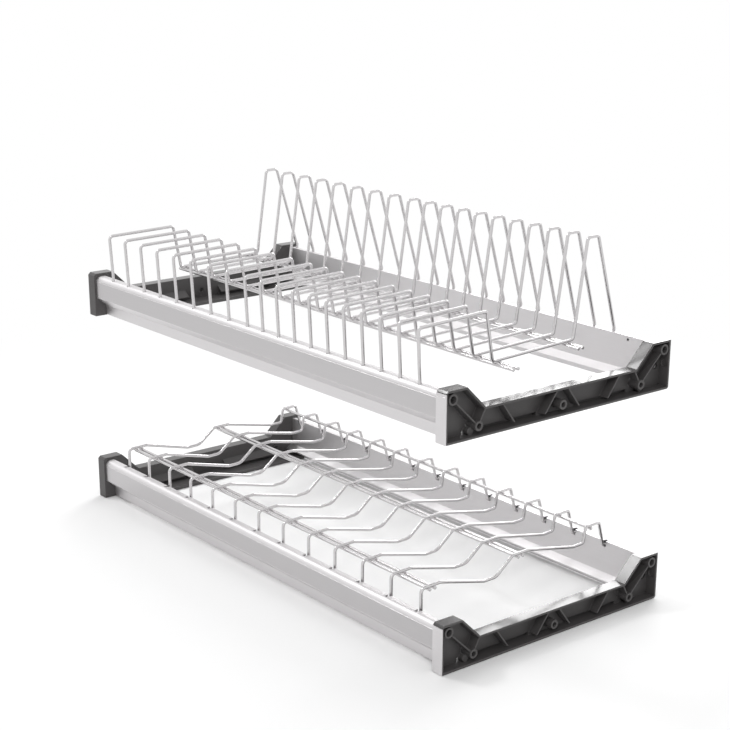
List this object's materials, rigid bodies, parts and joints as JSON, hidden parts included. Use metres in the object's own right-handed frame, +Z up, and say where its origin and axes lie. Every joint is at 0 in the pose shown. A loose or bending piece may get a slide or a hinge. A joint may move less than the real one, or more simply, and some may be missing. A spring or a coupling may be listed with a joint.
{
  "type": "cabinet dish rack",
  "caption": "Two-tier rack for a wall cabinet: aluminium rails between plastic side brackets, with a lift-out wire plate basket above and a lift-out wire bowl basket below.",
  "frame": {"origin": "centre of the footprint, on the underside of the lower brackets", "axes": "+X to the right along the cabinet's width, +Y from the front to the back, +Z up"},
  "size_m": [0.564, 0.2624, 0.3353],
  "materials": {
    "dark_plastic": "dark grey ABS moulding with a fine satin grain",
    "aluminium": "silver anodised extrusion, satin",
    "wire": "polished chrome-plated steel wire",
    "zinc_steel": "zinc-plated steel screw"
  },
  "bodies": {
    "frame": {"lower_left_bracket": "dark_plastic", "lower_right_bracket": "dark_plastic", "lower_right_end_cover": "aluminium", "lower_front_rail": "aluminium", "lower_rear_rail": "aluminium", "lower_rail_plugs": "dark_plastic", "lower_rail_screws": "zinc_steel", "upper_left_bracket": "dark_plastic", "upper_right_bracket": "dark_plastic", "upper_right_end_cover": "aluminium", "upper_front_rail": "aluminium", "upper_rear_rail": "aluminium", "upper_rail_plugs": "dark_plastic", "upper_rail_screws": "zinc_steel"},
    "plate_basket": {"plate_basket_wide_wires": "wire", "plate_basket_narrow_wires": "wire", "plate_basket_front_runners": "wire", "plate_basket_rear_runners": "wire"},
    "bowl_basket": {"bowl_basket_wires": "wire", "bowl_basket_front_runners": "wire", "bowl_basket_middle_runners": "wire", "bowl_basket_rear_runner": "wire"}
  },
  "joints": [
    {"name": "plate_basket_lift", "type": "slide", "parent": "frame", "child": "plate_basket", "axis": [0, 0, 1], "range_m": [0, 0.12]},
    {"name": "bowl_basket_lift", "type": "slide", "parent": "frame", "child": "bowl_basket", "axis": [0, 0, 1], "range_m": [0, 0.12]}
  ]
}
